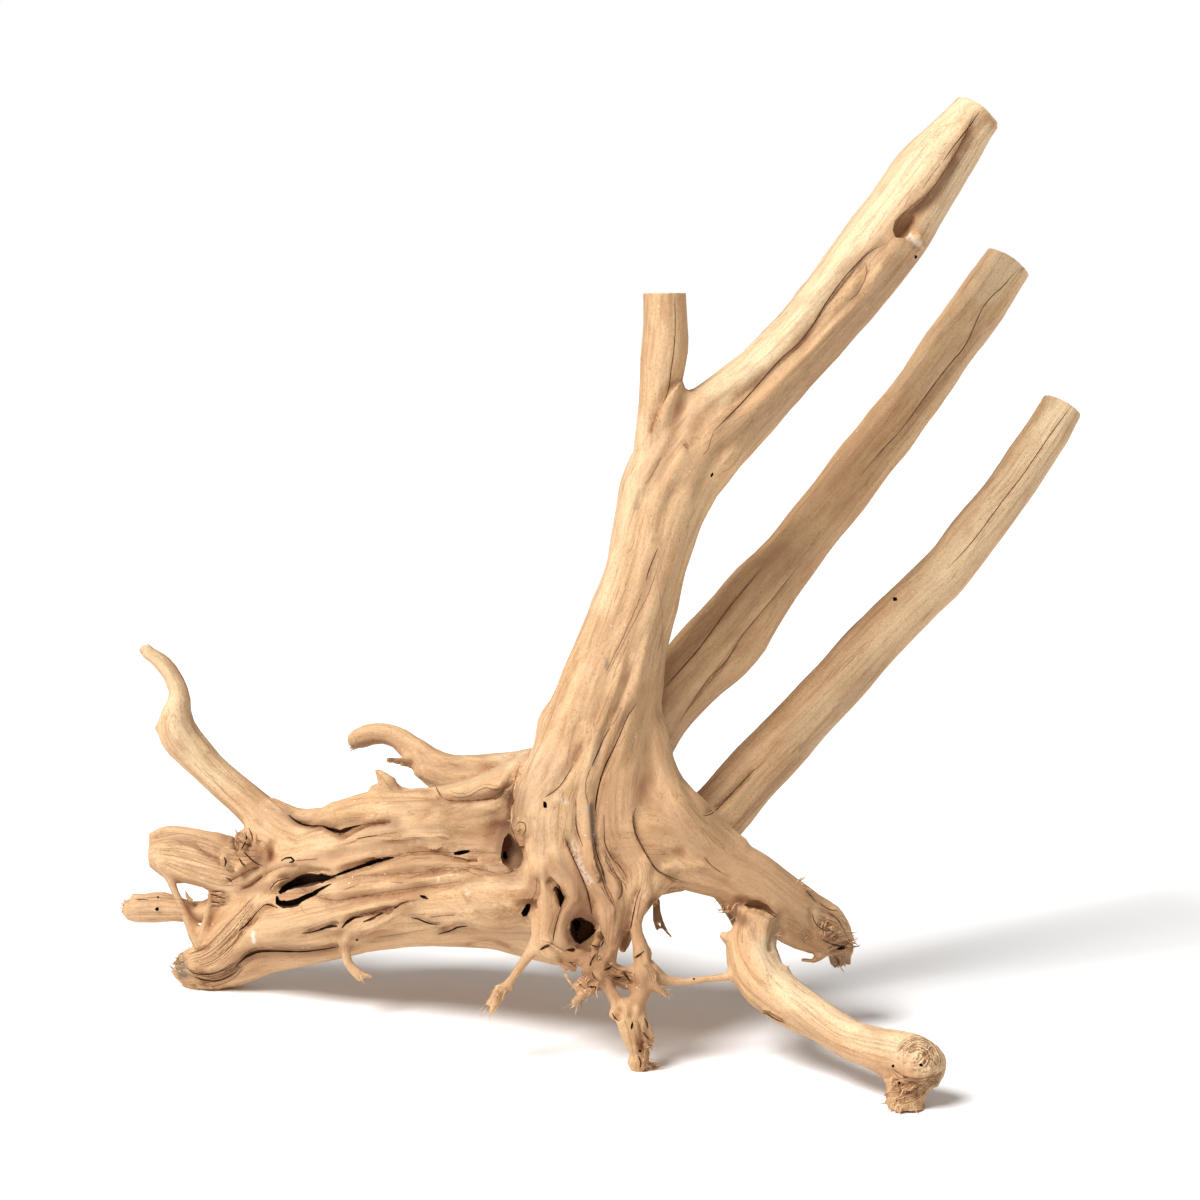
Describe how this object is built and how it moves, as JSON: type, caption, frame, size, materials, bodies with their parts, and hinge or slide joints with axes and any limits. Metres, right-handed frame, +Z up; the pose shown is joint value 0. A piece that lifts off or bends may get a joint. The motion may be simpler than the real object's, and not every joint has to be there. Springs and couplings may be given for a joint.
{
  "type": "piece of driftwood",
  "caption": "Dry root wood with a trunk and sawn branches leaning up from a spreading base of fused roots; a free-standing ornament or climbing perch.",
  "frame": {"origin": "on the ground, below the middle of the piece's box", "axes": "+Z up, +X to the right of the pictured front, +Y away from the viewer"},
  "size_m": [0.4847, 0.2576, 0.4427],
  "materials": {
    "dry_wood": "bare, weathered and dry, satin to matte"
  },
  "bodies": {
    "root": {"driftwood": "dry_wood"}
  },
  "joints": []
}
